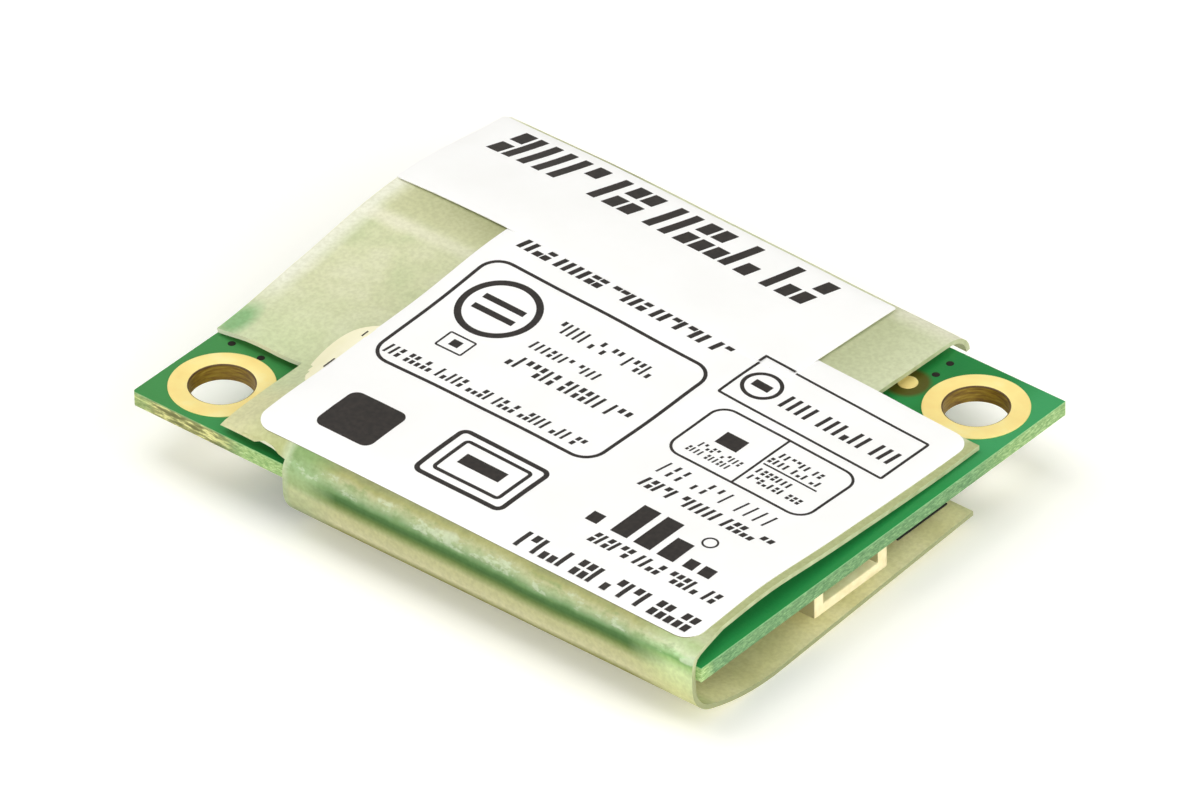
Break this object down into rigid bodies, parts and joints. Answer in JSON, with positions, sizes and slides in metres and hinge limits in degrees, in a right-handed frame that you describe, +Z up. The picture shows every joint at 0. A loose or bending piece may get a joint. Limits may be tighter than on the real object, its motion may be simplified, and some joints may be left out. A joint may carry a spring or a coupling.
{
  "type": "laptop modem module",
  "caption": "Small laptop modem daughter card in a folded insulating film with paper labels; screw holes with gold rings at opposite corners, a side line header and a socket underneath.",
  "frame": {"origin": "middle of the card on its underside, midway between the two screw holes", "axes": "+X along the card's long side, towards the end with the line header's mouth; +Y across it, from the edge that the film folds round towards the edge under the strip label; +Z up out of the labelled side"},
  "size_m": [0.035, 0.0286, 0.006],
  "materials": {
    "solder_mask": "glossy green lacquer on glass-epoxy laminate",
    "gold_plate": "immersion gold over copper",
    "frosted_film": "frosted translucent polyester",
    "label_paper": "matt white",
    "sticker_paper": "satin cream",
    "cream_plastic": "satin moulded",
    "socket_plastic": "satin moulded",
    "moulded_epoxy": "matt moulded",
    "tinned_metal": "bright tin",
    "gold_contact": "gold flash",
    "pale_ceramic": "unglazed tan",
    "dark_ceramic": "unglazed dark",
    "white_ceramic": "unglazed white",
    "tantalum_resin": "satin moulded"
  },
  "bodies": {
    "root": {"circuit_board": "solder_mask", "left_hole_plating": "gold_plate", "right_hole_plating": "gold_plate", "fiducial_dots": "gold_plate", "insulating_film": "frosted_film", "round_sticker": "sticker_paper", "main_label": "label_paper", "strip_label": "label_paper", "line_header_housing": "cream_plastic", "line_header_pins": "gold_contact", "line_header_tabs": "tinned_metal", "board_connector_housing": "socket_plastic", "board_connector_contacts": "gold_contact", "modem_chip_body": "moulded_epoxy", "modem_chip_leads": "tinned_metal", "line_chip_body": "moulded_epoxy", "line_chip_leads": "tinned_metal", "bridge_rectifier_body": "moulded_epoxy", "bridge_rectifier_leads": "tinned_metal", "surge_suppressor_body": "moulded_epoxy", "surge_suppressor_leads": "tinned_metal", "line_transistor_body": "moulded_epoxy", "line_transistor_leads": "tinned_metal", "hook_switch_bodies": "moulded_epoxy", "hook_switch_leads": "tinned_metal", "isolation_capacitor_bodies": "pale_ceramic", "isolation_capacitor_ends": "tinned_metal", "tantalum_capacitor_bodies": "tantalum_resin", "tantalum_capacitor_ends": "tinned_metal", "fuse_body": "white_ceramic", "fuse_caps": "tinned_metal", "ferrite_bead_bodies": "dark_ceramic", "ferrite_bead_ends": "tinned_metal", "ceramic_capacitor_bodies": "pale_ceramic", "ceramic_capacitor_ends": "tinned_metal", "resistor_bodies": "dark_ceramic", "resistor_ends": "tinned_metal", "crystal_base": "pale_ceramic", "crystal_lid": "tinned_metal"}
  },
  "joints": []
}
